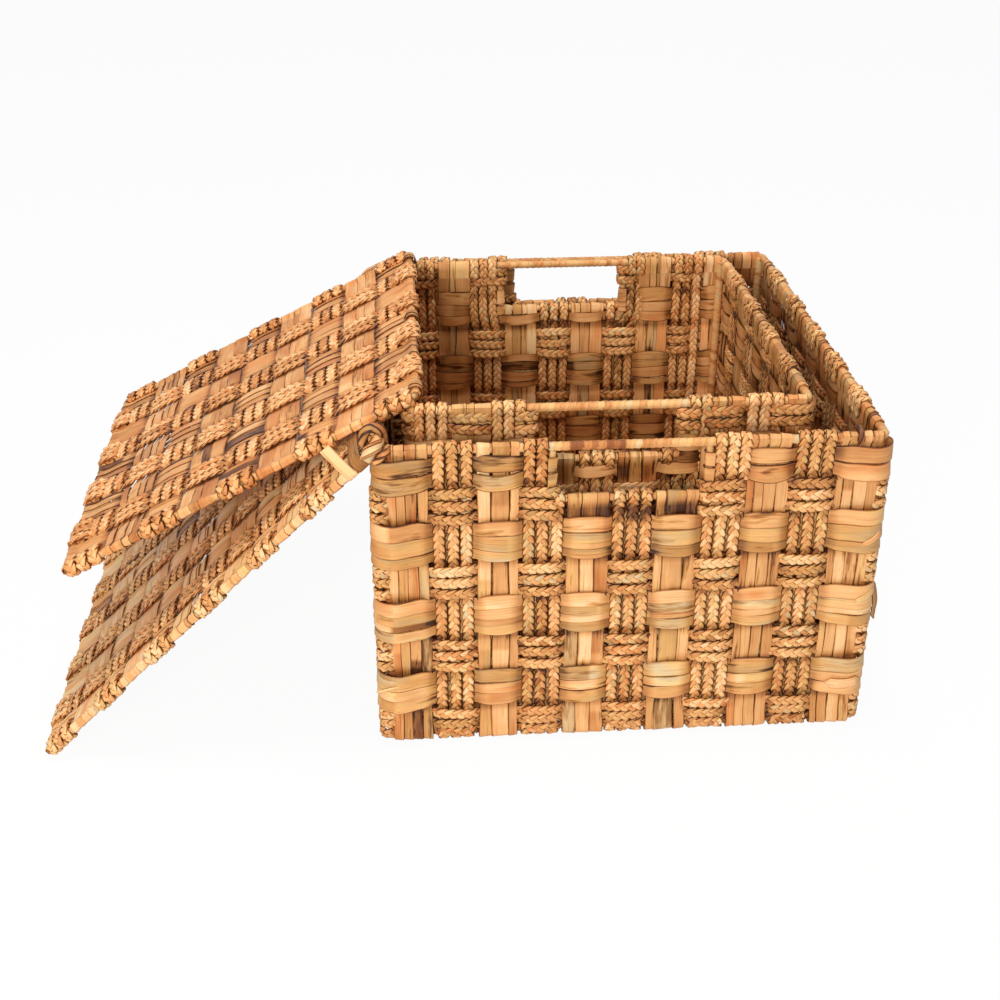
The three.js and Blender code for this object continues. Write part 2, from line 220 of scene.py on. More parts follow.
class Leafwork:
    """Lengths of wire, leaf and plait gathered into one mesh, each swept along its own line.

    The UV map grain holds the way along and the share across a length, and the UV map sort holds
    the tone of the length and a number of its own. A length with a number near 1 has a grey tint.
    """

    def __init__(self, chance, most=1.0):
        self.chance = chance
        self.most = most
        self.points, self.corners, self.sizes, self.grain, self.sort = [], [], [], [], []
        self.count = 0

    def sweep(self, line, out, half_width, half_thick, outline, shares, tone, closed=False):
        """Sweeps an outline along a line; it is given in half widths and half thicknesses."""
        along = directions(line, closed)
        out = unit(out - (out * along).sum(1)[:, None] * along)
        across = np.cross(out, along)
        breadth = np.broadcast_to(half_width, len(line))[:, None, None]
        depth = np.broadcast_to(half_thick, len(line))[:, None, None]
        rings = line[:, None] + breadth * outline[None, :, :1] * across[:, None]
        rings = rings + depth * outline[None, :, 1:] * out[:, None]
        sides, rows = len(outline), len(line)
        spans = rows if closed else rows - 1
        shape = (spans, sides)
        ring, side = np.arange(spans)[:, None], np.arange(sides)
        after, beside = (ring + 1) % rows, (side + 1) % sides
        corners = [at_corners(shape, ring * sides + side, ring * sides + beside,
                              after * sides + beside, after * sides + side).reshape(-1)]
        sizes = [np.full(spans * sides, 4)]
        strides = np.linalg.norm(np.diff(line, axis=0), axis=1)
        gone = np.concatenate([[0], np.cumsum(strides), [strides.sum() + strides[-1]]])
        near, far = gone[:spans, None], gone[1:spans + 1, None]
        left, right = shares[:-1], shares[1:]
        grain = np.stack([at_corners(shape, near, near, far, far),
                          at_corners(shape, left, right, right, left)], -1)
        grains = [grain.reshape(-1, 2)]
        tones = np.broadcast_to(tone, rows)
        near, far = tones[:spans, None], np.roll(tones, -1)[:spans, None]
        corner_tones = [at_corners(shape, near, near, far, far).reshape(-1)]
        if not closed:
            corners += [side[::-1], side + (rows - 1) * sides]
            sizes += [[sides], [sides]]
            grains += [np.column_stack([np.zeros(sides), left[::-1]]),
                       np.column_stack([np.full(sides, gone[rows - 1]), left])]
            corner_tones += [np.full(sides, tones[0]), np.full(sides, tones[-1])]
        corner_tones = np.concatenate(corner_tones)
        number = np.full(len(corner_tones), self.most * self.chance.random())
        self.points.append(rings.reshape(-1, 3))
        self.corners.append(np.concatenate(corners) + self.count)
        self.sizes += sizes
        self.grain.append(np.concatenate(grains))
        self.sort.append(np.column_stack([corner_tones, number]))
        self.count += rows * sides

    def piece(self, name, finish, body, slot, *nodes, crease=None):
        """Makes the mesh, gives it its finish and says what it rides on and stands for.

        A piece that crosses a hinge rides on no one body, so its body is None.
        """
        mesh = bpy.data.meshes.new(name)
        points = np.concatenate(self.points)
        corners = np.concatenate(self.corners)
        sizes = np.concatenate(self.sizes)
        starts = np.concatenate([[0], np.cumsum(sizes)[:-1]])
        mesh.vertices.add(len(points))
        mesh.vertices.foreach_set("co", points.astype(np.float32).ravel())
        mesh.loops.add(len(corners))
        mesh.loops.foreach_set("vertex_index", corners.astype(np.int32))
        mesh.polygons.add(len(sizes))
        mesh.polygons.foreach_set("loop_start", starts.astype(np.int32))
        mesh.update(calc_edges=True)
        for layer, values in (("grain", self.grain), ("sort", self.sort)):
            made = mesh.uv_layers.new(name=layer)
            made.data.foreach_set("uv", np.concatenate(values).astype(np.float32).ravel())
        mesh.shade_smooth()
        if crease:
            mesh.set_sharp_from_angle(angle=crease)
        mesh.materials.append(finish)
        made = bpy.data.objects.new(name, mesh)
        bpy.context.scene.collection.objects.link(made)
        if body:
            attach(made, body)
        if nodes:
            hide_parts(*nodes)
        return made


class Box:
    """The sizes of one woven box, read from its wires and walls, and the pattern of its weave."""

    def __init__(self, name, front_columns, side_columns, plait_first, alike_over, first_place, pitch):
        self.name = name
        side_margin = 25 * mm
        upright_radius = 3.2 * mm
        slot_reach = 6 * mm
        low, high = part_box(name + "_rim_wire")
        wall_low, wall_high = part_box(name + "_right_wall_weave")
        front_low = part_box(name + "_front_wall_weave")[0]
        floor_low, floor_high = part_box(name + "_base_weave")
        slot_low, slot_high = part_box(name + "_front_handle_wire")
        wall = wall_high.x - wall_low.x
        self.middle_x = (low.x + high.x) / 2
        self.half_x = wall_high.x - self.middle_x - wall / 2
        self.half_y = -front_low.y - wall / 2
        self.rim_z = (low.z + high.z) / 2
        self.base_z = (floor_low.z + floor_high.z) / 2
        self.slot_right = (slot_high.x - slot_low.x) / 2 - upright_radius
        self.slot_left = -self.slot_right - slot_reach
        self.slot_z = slot_low.z + upright_radius
        self.alike_over = alike_over
        self.chance = np.random.default_rng(len(name) + front_columns)
        depth = 2 * self.half_y + wall - 2 * side_margin
        self.pitch_x = pitch
        self.pitch_y = depth / side_columns
        self.pitch_z = 37.25 * mm
        self.front_places = first_place + np.arange(front_columns) * self.pitch_x
        self.side_places = (np.arange(side_columns) - (side_columns - 1) / 2) * self.pitch_y
        self.row_places = (np.arange(row_count) + 0.5) * self.pitch_z + floor_low.z
        self.front_plaits = (np.arange(front_columns) % 2 == 0) == plait_first
        self.side_plaits = np.arange(side_columns) % 2 == 1
        self.row_plaits = (np.arange(row_count) % 2 == 0) == alike_over

    def over(self, first_is_plait, second_is_plait):
        """1 where the first lies outside the second at their crossing, and -1 where inside."""
        return np.where((first_is_plait == second_is_plait) == self.alike_over, 1, -1)


large_box = Box("large_box", front_columns=11, side_columns=11, plait_first=False, alike_over=True,
                first_place=-189.5 * mm, pitch=37.9 * mm)
small_box = Box("small_box", front_columns=10, side_columns=9, plait_first=True, alike_over=False,
                first_place=-154.7 * mm, pitch=35.9 * mm)


def rectangle_line(half_x, half_y, corner, middle_x, height, corner_steps=6):
    """The corners of a level ring with rounded corners, round a box."""
    points = []
    for turn, side_x, side_y in ((-90, 1, -1), (0, 1, 1), (90, -1, 1), (180, -1, -1)):
        for step in range(corner_steps + 1):
            angle = math.radians(turn + 90 * step / corner_steps)
            points.append((middle_x + side_x * (half_x - corner) + corner * math.cos(angle),
                           side_y * (half_y - corner) + corner * math.sin(angle), height))
    return np.array(points)


def mix_colours(nodes, blend, share, first, second):
    """A Mix node on two colours, whose sockets come after those for numbers and vectors."""
    settings = {"data_type": "RGBA", "blend_type": blend}
    none = (0, 0, 0)
    return nodes.add("ShaderNodeMix", settings, share, none, 0, 0, none, none, first, second, output=2)


leaf_dark = (0.045, 0.012, 0.003)
leaf_brown = (0.19, 0.062, 0.014)
leaf_tan = (0.45, 0.178, 0.047)
leaf_gold = (0.66, 0.305, 0.103)
leaf_pale = (0.83, 0.45, 0.185)
leaf_straw = (0.90, 0.60, 0.32)
tone_stops = [(0.0, leaf_dark), (0.14, leaf_brown), (0.36, leaf_tan), (0.60, leaf_gold),
              (0.84, leaf_pale), (1.0, leaf_straw)]
tint_stops = [(0.0, (1.0, 0.80, 0.66)), (0.16, (1.0, 0.93, 0.88)), (0.34, (1.0, 1.0, 1.0)),
              (0.58, (1.0, 1.0, 0.98)), (0.70, (0.96, 1.0, 0.84)), (0.82, (0.86, 0.94, 0.86)),
              (1.0, (0.74, 0.86, 0.96))]


def leaf_finish(name, vein_count, stain, edge_shade_from, edge_shade, crease, vein_depth):
    """Dried leaf: fine veins along each strip, slow changes of tone, brown stains, and painted shade at
    its edges and creases.
    """
    material, nodes = new_finish(name)
    grain = nodes.add("ShaderNodeUVMap", {"uv_map": "grain"})
    sort = nodes.add("ShaderNodeUVMap", {"uv_map": "sort"})
    way = nodes.add("ShaderNodeSeparateXYZ", {}, grain)
    share = Shade(nodes, way.socket.node.outputs[1])
    own = nodes.add("ShaderNodeSeparateXYZ", {}, sort)
    number = Shade(nodes, own.socket.node.outputs[1])

    def noise(along, across, seed, **settings):
        """Noise with so many waves in a metre along and in the breadth, and its own on each leaf."""
        place = nodes.add("ShaderNodeCombineXYZ", {}, way * along, share * across, number * seed)
        return nodes.add("ShaderNodeTexNoise", {}, Vector=place, Scale=1, **settings)

    vein_contrast = 0.46
    patch_contrast = 0.42
    drift_contrast = 0.52
    veins = noise(14, vein_count, 91, Detail=3, Roughness=0.65)
    patches = noise(26, 2.2, 57, Detail=3, Roughness=0.6)
    drift = noise(19, 0.8, 33, Detail=1)
    tone = (own + (veins - 0.5) * vein_contrast + (patches - 0.5) * patch_contrast
            + (drift - 0.5) * drift_contrast)
    stained = nodes.add("ShaderNodeMapRange", {}, patches + drift * 0.6, 0.90, 1.04, 0, stain)
    middle = nodes.add("ShaderNodeMath", {"operation": "ABSOLUTE"}, share - 0.5)
    # Painted shade: each strip is darker towards its edges, where it meets and tucks under its
    # neighbours.
    edge = nodes.add("ShaderNodeMapRange", {}, middle, edge_shade_from, 0.49, 0, edge_shade)
    # Painted shade in the creases: darker where the vein relief is lowest.
    crease_shade = nodes.add("ShaderNodeMapRange", {}, veins, 0.36, 0.30, 0, crease)
    tone = nodes.add("ShaderNodeClamp", {}, tone - stained - edge - crease_shade)
    colour = nodes.add("ShaderNodeValToRGB", {"stops": tone_stops}, tone)
    tint_place = nodes.add("ShaderNodeClamp", {}, number * 0.7 + drift * 1.7 - 0.70)
    tint = nodes.add("ShaderNodeValToRGB", {"stops": tint_stops}, tint_place)
    colour = mix_colours(nodes, "MULTIPLY", 1.0, colour, tint)
    relief = nodes.add("ShaderNodeBump", {}, Strength=0.8, Distance=vein_depth, Height=veins)
    roughness = 0.5 + (patches - 0.5) * 0.3
    leaf = nodes.add("ShaderNodeBsdfPrincipled", {}, Base_Color=colour, Roughness=roughness,
                     Specular_IOR_Level=0.3, Normal=relief)
    nodes.add("ShaderNodeOutputMaterial", {}, leaf)
    return material


wrap_finish = leaf_finish("wound_leaf", vein_count=7, stain=0.30, edge_shade_from=0.36, edge_shade=0.35,
                          crease=0.2, vein_depth=0.25 * mm)


def round_outline(sides):
    """The corners of a round section, in half widths."""
    turns = np.arange(sides) * 2 * math.pi / sides
    return np.column_stack([np.cos(turns), np.sin(turns)])


def wound_rod(work, line, side, radius, closed=False, step=1.5 * mm, sides=9, stained=None):
    """A rod wound with leaf: its radius steps down once in every turn of the winding.

    Between the two values of x in stained, the leaf is brown at the front.
    """
    line = evenly(line, step, closed)
    along = directions(line, closed)
    out = unit(np.cross(along, side))
    across = np.cross(out, along)
    outline = round_outline(sides)
    turns = np.arange(sides) * 2 * math.pi / sides
    place = np.arange(len(line))[:, None] * step / wrap_pitch + turns / (2 * math.pi)
    thick = radius * (1 + wrap_step * (place % 1 - 0.5))
    rings = line[:, None] + thick[..., None] * (outline[None, :, :1] * across[:, None]
                                                + outline[None, :, 1:] * out[:, None])
    spare = Leafwork(work.chance)
    tone = 0.62 + 0.2 * work.chance.random()
    spare.sweep(line, out, radius, radius, outline, np.linspace(0, 1, sides + 1), tone, closed)
    corners = spare.corners[0]
    # Each turn of the winding has a tone of its own, and its grain runs round the rod.
    turn_contrast = 0.42
    turn_number = np.floor(place.reshape(-1)[corners]) % 997
    tones = (np.sin(turn_number * 12.99) * 43758.5) % 1
    own_tone = tone + (tones - 0.5) * turn_contrast
    if stained:
        x, y = rings.reshape(-1, 3)[corners, :2].T
        brown = (x > stained[0]) & (x < stained[1]) & (y < 0) & (tones > 0.15)
        own_tone = np.where(brown, 0.20 + 0.25 * tones, own_tone)
        tones = np.where(brown, 0.04, tones)
    work.points.append(rings.reshape(-1, 3))
    work.corners.append(corners + work.count)
    work.sizes += spare.sizes
    work.grain.append(np.column_stack([spare.grain[0][:, 1] * 2 * math.pi * radius,
                                       (place % 1).reshape(-1)[corners]]))
    work.sort.append(np.column_stack([own_tone, tones]))
    work.count += spare.count


def wind(part, name, node, line, side, radius, closed=False, **settings):
    """Winds one rod of a box or lid, in place of a wire of its frame."""
    rod = Leafwork(part.chance)
    wound_rod(rod, line, side, radius, closed, **settings)
    rod.piece(f"{part.name}_{name}", wrap_finish, part.name, "leaf_wrap", f"{part.name}_{node}")


def rim_and_handles(box):
    """The wound rods of one box: rim, base ring, posts, and a U round each hand slot."""
    up = np.array([0, 0, 1.0])
    rim_corner = 8 * mm
    half_x, half_y = box.half_x + rim_overhang, box.half_y + rim_overhang
    line = rectangle_line(half_x, half_y, rim_corner, box.middle_x, box.rim_z)
    stain = (-55 * mm, -8 * mm) if box is large_box else (75 * mm, 92 * mm)
    wind(box, "wound_rim", "rim_wire", line, up, rod_radius, closed=True, stained=stain)
    base_corner = 10 * mm
    half_x, half_y = box.half_x - base_ring_inset, box.half_y - base_ring_inset
    line = rectangle_line(half_x, half_y, base_corner, box.middle_x, box.base_z + 0.5 * mm)
    wind(box, "base_ring", "base_wire", line, up, base_rod_radius, closed=True, step=3 * mm, sides=6)
    for place in ("front_left", "front_right", "back_right", "back_left"):
        x = (box.half_x - post_inset) * (1 if "right" in place else -1)
        y = (box.half_y - post_inset) * (1 if "back" in place else -1)
        line = np.array([(box.middle_x + x, y, height) for height in (box.base_z, box.rim_z)])
        wind(box, "post_" + place, "corner_post_" + place, line, np.array([1.0, 0, 0]), post_radius,
             sides=8, stained=(-1, 1))
    corner = 7 * mm
    points = [(box.slot_left, box.rim_z)]
    for middle, turn in ((box.slot_left + corner, 180), (box.slot_right - corner, 270)):
        for step in range(7):
            angle = math.radians(turn + 15 * step)
            points.append((middle + corner * math.cos(angle),
                           box.slot_z + corner + corner * math.sin(angle)))
    points.append((box.slot_right, box.rim_z))
    for side_y, place in ((-1, "front"), (1, "back")):
        line = np.array([(box.middle_x + x, side_y * box.half_y, z) for x, z in points])
        wind(box, place + "_wound_handle", place + "_handle_wire", line, np.array([0, 1.0, 0]),
             handle_rod_radius)


rim_and_handles(large_box)
rim_and_handles(small_box)

# The columns of both boxes: bands of three flat leaves lie beside sets of three plaits in turn. Each
# starts over the rim at one wall, goes down it, across the base and up the opposite wall.
flat_finish = leaf_finish("flat_leaf", vein_count=11, stain=0.55, edge_shade_from=0.41, edge_shade=0.55,
                          crease=0.35, vein_depth=0.45 * mm)
plait_finish = leaf_finish("plaited_leaf", vein_count=4, stain=0.30, edge_shade_from=0.22, edge_shade=0.75,
                           crease=0.1, vein_depth=0.35 * mm)
plait_period = 22 * mm
plait_steps = 7
plait_swing = 0.272
plait_rise = 0.104
strand_breadth = 0.24
strand_thickness = 0.1
strand_outline = round_outline(6)
strand_shares = np.array([0, 1 / 3, 2 / 3, 1, 2 / 3, 1 / 3, 0])
flat_outline = np.array([(1, -0.6), (0.88, 0.55), (-0.88, 0.55), (-1, -0.6), (0, -0.75)])
flat_shares = np.array([1, 0.94, 0.06, 0, 0.5, 1])
flat_crease = math.radians(30)
flat_tilt = (0.4, 1.3)
# Painted shade: a strip's leaf is painted darker by this share where it lies deep in a gap between the
# strips it crosses.
gap_shade = 0.56
narrow_column = 25 * mm
rows_below_slots = 6


def marked(line, depth=0.0, swell=1.0):
    """A line whose points also hold how deep a strip lies between others, for its painted shade, and
    how wide it is.
    """
    return np.column_stack([line, np.broadcast_to(depth, len(line)), np.broadcast_to(swell, len(line))])


def phase(chance):
    """Where a strip's waves start."""
    return 6 * chance.random()


def pieced_tones(chance, count, step, first, pick):
    """Tones along a strip pieced together from leaves, each of 50 to 130 mm and its own tone."""
    tones = np.empty(count)
    start = 0
    while start < count:
        end = start + int(chance.uniform(50, 130) * mm / step)
        own = pick(chance)
        tones[start:end] = own if own < 0.3 else 0.35 * first + 0.65 * own
        start = end
    return tones


def plait_tone(chance):
    return 0.42 if chance.random() < 0.05 else 0.70 + 0.13 * chance.standard_normal()


def lay_plait(work, line, side, width, closed=False):
    """Three strands of rolled leaf plaited along a line; side is square to the plait's line."""
    step = plait_period / plait_steps
    line = evenly(marked(line) if line.shape[1] == 3 else line, step, closed,
                  plait_steps if closed else 1)
    depth = line[:, 3]
    line = line[:, :3]
    along = directions(line, closed)
    out = unit(np.cross(along, side))
    across = np.cross(out, along)
    way = np.arange(len(line)) * 2 * math.pi / plait_steps + phase(work.chance)
    hand = work.chance.choice((-1, 1))
    tone = 0.72 + 0.12 * work.chance.standard_normal()
    tones = pieced_tones(work.chance, len(line), step, tone, plait_tone)
    for strand in range(3):
        turn = way + strand * 2 * math.pi / 3
        path = line + (plait_swing * width * hand * np.sin(turn))[:, None] * across
        path = path + (plait_rise * width * np.sin(2 * turn))[:, None] * out
        swell = 0.9 + 0.2 * np.cos(turn) ** 2
        # Painted shade: each strand is darker where the plait lies deep in a gap.
        own_tone = np.clip(tones + 0.10 * work.chance.standard_normal() - gap_shade * depth, 0.05, 1)
        work.sweep(path, out, strand_breadth * width * swell, strand_thickness * width,
                   strand_outline, strand_shares, own_tone, closed)


def flat_tone(chance):
    pick = chance.random()
    if pick < 0.13:
        return 0.18 if pick < 0.025 else 0.42
    return np.clip(0.72 + 0.16 * chance.standard_normal(), 0.4, 1)


def lay_flat(work, line, side, width, tilt, closed=False, step=4 * mm):
    """One flat leaf along a line, tilted over its neighbour, with an uneven edge."""
    line = evenly(marked(line) if line.shape[1] == 3 else line, step, closed)
    depth, swell = line[:, 3], line[:, 4]
    line = line[:, :3]
    out = unit(np.cross(directions(line, closed), side))
    outline = flat_outline + np.column_stack([np.zeros(5), tilt * flat_outline[:, 0]])
    first = np.clip(0.71 + 0.12 * work.chance.standard_normal(), 0.4, 1)
    # Painted shade: the leaf is darker where it lies deep in a gap.
    tones = pieced_tones(work.chance, len(line), step, first, flat_tone) - gap_shade * depth
    place = np.linspace(0, 2 * math.pi, len(line), endpoint=not closed)
    uneven = 1 + sum(0.035 * np.sin(place * turns + phase(work.chance)) for turns in (5, 11, 23))
    work.sweep(line, out, width / 2 * uneven * swell, 0.55 * mm, outline, flat_shares,
               np.clip(tones, 0.03, 1), closed)


def nearest_strip(place, centres, pitch):
    """The strip whose centre lies nearest, and how far from that centre, in pitches."""
    nearest = np.clip(np.round((place - centres[0]) / pitch).astype(int), 0, len(centres) - 1)
    return nearest, np.clip(abs(place - centres[nearest]) / pitch, 0, 0.5)


def crossing(place, centres, pitch, signs, sharpness=0.5):
    """How far out, from -1 to 1, a strip lies as it passes over and under the centres' strips."""
    nearest, share = nearest_strip(place, centres, pitch)
    return signs[nearest] * np.maximum(np.cos(math.pi * share), 0) ** sharpness


def in_gap(share):
    """How deep, from 0 to 1, a strip lies in the gap at the edge of one that it crosses, for its
    painted shade.
    """
    return np.clip(1 - np.cos(math.pi * share) / 0.45, 0, 1)


def between(place, centres, pitch):
    """How deep, from 0 to 1, a strip lies in the gap between the centres' strips, for its painted
    shade.
    """
    return in_gap(nearest_strip(place, centres, pitch)[1])


def strip_places(chance, plaited, pitch, count=3):
    """Centre and width of each plait or flat leaf in a band."""
    if plaited:
        width = 0.305 * pitch
        return [((number - (count - 1) / 2) * width, width) for number in range(count)]
    shift = np.clip(0.07 * chance.standard_normal(count - 1), -0.12, 0.12)
    cuts = np.arange(count + 1) / count + np.pad(shift, 1)
    cuts = (cuts - 0.5) * (0.94 * pitch)
    laps = chance.uniform(-0.9 * mm, 1.8 * mm, count)
    return [((cuts[n] + cuts[n + 1]) / 2, cuts[n + 1] - cuts[n] + laps[n]) for n in range(count)]


def soften(curve, reach):
    """Evens out a curve's points over a few neighbours, but for its ends."""
    padded = np.pad(curve, ((reach, reach), (0, 0)), mode="edge")
    window = 2 * reach + 1
    return sum(padded[start:start + len(curve)] for start in range(window)) / window


def closeness(distance, reach):
    """1 at a place, and less up to the reach given, where it is 0."""
    return np.clip(1 - distance / reach, 0, 1)


def column_curve(box, half, plaited, row_signs, crossed, in_slot):
    """A column's line seen edge on, from one rim over the base to the other: outwards, up, and gap
    depth for painted shade.
    """
    fine = 1.2 * mm
    lift = 1.2 * mm
    base_lift = 2.4 * mm
    fillet = 3 * mm
    reach_from_rod = 9 * mm
    reach_from_edge = 14 * mm
    edge_lift = (4.1 if plaited else 5.6) * mm
    thick = (2.1 if plaited else 1.3) * mm
    if in_slot:
        rod_place, rod_z, rod = half, box.slot_z, handle_rod_radius + thick
        rows = box.row_places[:rows_below_slots]
    else:
        rod_place, rod_z, rod = half + rim_overhang, box.rim_z, rod_radius + thick
        rows = box.row_places
    turns = np.radians(np.linspace(180, 0, 13))
    tail_end = 5 if in_slot and not plaited else 13
    tail = np.column_stack([np.full(8, rod_place - rod * 0.9),
                            rod_z - np.linspace(tail_end, 1, 8) * mm, np.zeros(8)])
    loop = np.column_stack([rod_place + rod * np.cos(turns), rod_z + rod * np.sin(turns),
                            np.zeros(len(turns))])
    wall_z = np.arange(rod_z - 3 * mm, box.base_z + fillet, -fine)
    wall_out = lift * crossing(wall_z, rows, box.pitch_z, row_signs[:len(rows)], 1)
    near_rod = closeness(rod_z - wall_z, reach_from_rod)
    wall_out = wall_out * (1 - near_rod) + rod * near_rod
    near_base = closeness(wall_z - box.base_z - fillet, reach_from_edge) ** 2
    wall_out = wall_out * (1 - near_base) + edge_lift * near_base
    # Painted shade: the column is darker where it lies deep between the rows, and between the crossing
    # columns on the base.
    wall_gap_shade = between(wall_z, rows, box.pitch_z) * (1 - near_rod)
    down = np.column_stack([half + wall_out, wall_z, wall_gap_shade])
    bend = np.radians(np.linspace(0, -90, 7)[1:-1])
    corner = np.column_stack([half - fillet + (fillet + edge_lift) * np.cos(bend),
                              box.base_z + fillet + (fillet + edge_lift) * np.sin(bend),
                              np.zeros(len(bend))])
    flat = np.arange(-(half - fillet), half - fillet + fine, fine)
    under = base_lift * crossing(flat, *crossed, 0.7)
    near_edge = closeness(half - fillet - abs(flat), reach_from_edge) ** 2
    under = under * (1 - near_edge) + edge_lift * near_edge
    base_gap_shade = between(flat, *crossed[:2]) * (1 - near_edge)
    base = np.column_stack([flat, box.base_z - under, base_gap_shade])
    first = np.vstack([tail, loop, down, corner])
    return soften(np.vstack([first * (-1, 1, 1), base, first[::-1]]), 2)


def at_rim(box, laterals, width):
    """Which strips of a column end in the hand slot, and where each of them stands at its top."""
    clear = handle_rod_radius + 0.16 * box.pitch_x
    margin = 3 * mm
    inset = 6 * mm
    crowding = 0.9
    in_slot = [box.slot_left + margin < place < box.slot_right - margin for place in laterals]
    tops = np.clip(laterals, box.slot_left + inset, box.slot_right - inset)
    left = [n for n, place in enumerate(laterals) if not in_slot[n] and place < 0]
    right = [n for n, place in enumerate(laterals) if not in_slot[n] and place > 0]
    for rank, n in enumerate(reversed(left)):
        tops[n] = min(laterals[n], box.slot_left - clear - crowding * width * rank)
    for rank, n in enumerate(right):
        tops[n] = max(laterals[n], box.slot_right + clear + crowding * width * rank)
    return in_slot, tops


def lay_columns(box, along_front):
    """All columns of one direction: those that stand on the front and back, or on the two sides."""
    fronts = (box.half_y, box.front_places, box.pitch_x, box.front_plaits)
    sides = (box.half_x, box.side_places, box.pitch_y, box.side_plaits)
    own, crossed = (fronts, sides) if along_front else (sides, fronts)
    half, places, pitch, plaits = own
    cross_places, cross_pitch, cross_plaits = crossed[1:]
    side = np.array([1.0, 0, 0] if along_front else [0, -1.0, 0])
    flats, plaited_work = Leafwork(box.chance), Leafwork(box.chance)
    edges = np.append(places - pitch / 2, places[-1] + pitch / 2)
    if along_front:
        # The outer columns reach to the corners.
        corner_gap = 1 * mm
        edges[0] = corner_gap - box.half_x
        edges[-1] = box.half_x - corner_gap
    for number, plaited in enumerate(plaits):
        # The large box's plaits are of paler leaf, and so are the small box's columns that stand on
        # its front and back. Those on its sides are of darker leaf.
        if box is large_box:
            paler = 0.15 if plaited else 0
        else:
            paler = 0.11 if along_front else -0.15
        row_signs = -box.over(box.row_plaits, plaited)
        cross_signs = np.where(cross_plaits == plaited, 1, -1) * (1 if along_front else -1)
        lean = box.chance.choice((-1, 1))
        middle = (edges[number] + edges[number + 1]) / 2
        breadth = edges[number + 1] - edges[number]
        count = 3 if plaited else box.chance.choice((3, 3, 4))
        count = 2 if breadth < narrow_column else count
        strips = strip_places(box.chance, plaited, breadth, count)
        laterals = np.array([middle + offset for offset, width in strips])
        in_slot, tops = [False] * count, laterals
        if along_front:
            in_slot, tops = at_rim(box, laterals, strips[0][1])
        for lateral, top, slotted, (offset, width) in zip(laterals, tops, in_slot, strips):
            curve = column_curve(box, half, plaited, row_signs,
                                 (cross_places, cross_pitch, cross_signs), slotted)
            rise = np.clip((curve[:, 1] - box.slot_z + 30 * mm) / (28 * mm), 0, 1)
            way = np.linspace(0, 1, len(curve))
            wander = 0.45 * mm * np.sin(way * 40 + phase(box.chance))
            sideways = lateral + (top - lateral) * rise * rise * (3 - 2 * rise) + wander
            x, y = (sideways, curve[:, 0]) if along_front else (curve[:, 0], sideways)
            line = marked(np.column_stack([box.middle_x + x, y, curve[:, 1]]), curve[:, 2] - paler)
            if plaited:
                lay_plait(plaited_work, line, side, width)
            else:
                lay_flat(flats, line, side, width, lean * box.chance.uniform(*flat_tilt))
    return flats, plaited_work


for box in (large_box, small_box):
    for way, *flat_nodes, plait_node in (("front", "front_wall", "base", "back_wall"),
                                         ("side", "left_wall", "right_wall")):
        flats, plaits = lay_columns(box, way == "front")
        flats.piece(f"{box.name}_{way}_leaf_columns", flat_finish, box.name, "leaf_weave",
                    *(f"{box.name}_{node}_weave" for node in flat_nodes), crease=flat_crease)
        plaits.piece(f"{box.name}_{way}_plait_columns", plait_finish, box.name, "leaf_weave",
                     f"{box.name}_{plait_node}_weave")

# The rows: eight rings of flat leaves or of plaits, in turn, woven through the columns and pulled
# round the corner posts. The two upper rows stop at the hand slots and turn back round their wires.
row_lift_flat = 3.4 * mm
row_lift_plait = 3.9 * mm
small_box_corner_lift = 6.6 * mm
# The large box's two lower flat bands are painted paler, as the light that falls more on the lower part
# of its walls.
painted_lit_rows = (1, 3)


def wall_ring(box):
    """Points of a ring round the walls: place, way out, which wall, and the place along it."""
    corner = 7 * mm
    fine = 1.3 * mm
    points, outward, walls, along = [], [], [], []
    for wall in range(4):
        turn = math.radians(90 * wall - 90)
        out = np.array([math.cos(turn), math.sin(turn)])
        ahead = np.array([-out[1], out[0]])
        reach, depth = (box.half_x, box.half_y) if wall % 2 == 0 else (box.half_y, box.half_x)
        reach -= corner
        steps = np.linspace(-reach, reach, int(2 * reach / fine))
        bend = turn + np.radians(np.linspace(0, 90, 11)[1:-1])
        arc = np.column_stack([np.cos(bend), np.sin(bend)])
        points += [out * depth + steps[:, None] * ahead,
                   out * (depth - corner) + ahead * reach + arc * corner]
        outward += [np.tile(out, (len(steps), 1)), arc]
        walls += [np.full(len(steps), wall), np.full(len(bend), -1)]
        along += [steps * (ahead[0] + ahead[1]), np.zeros(len(bend))]
    return [np.concatenate(part) for part in (points, outward, walls, along)]


def corner_lifts(box, number, plaited):
    """How far a row stands out at the left and right corners.

    It is more on the large box, but its top row stands out less where the lid hangs.
    """
    if box is small_box:
        return small_box_corner_lift, small_box_corner_lift
    if number == row_count - 1:
        left = 8.8
    else:
        left = 9.4 if plaited else 11.2
    return left * mm, (8 if plaited else 9.4) * mm


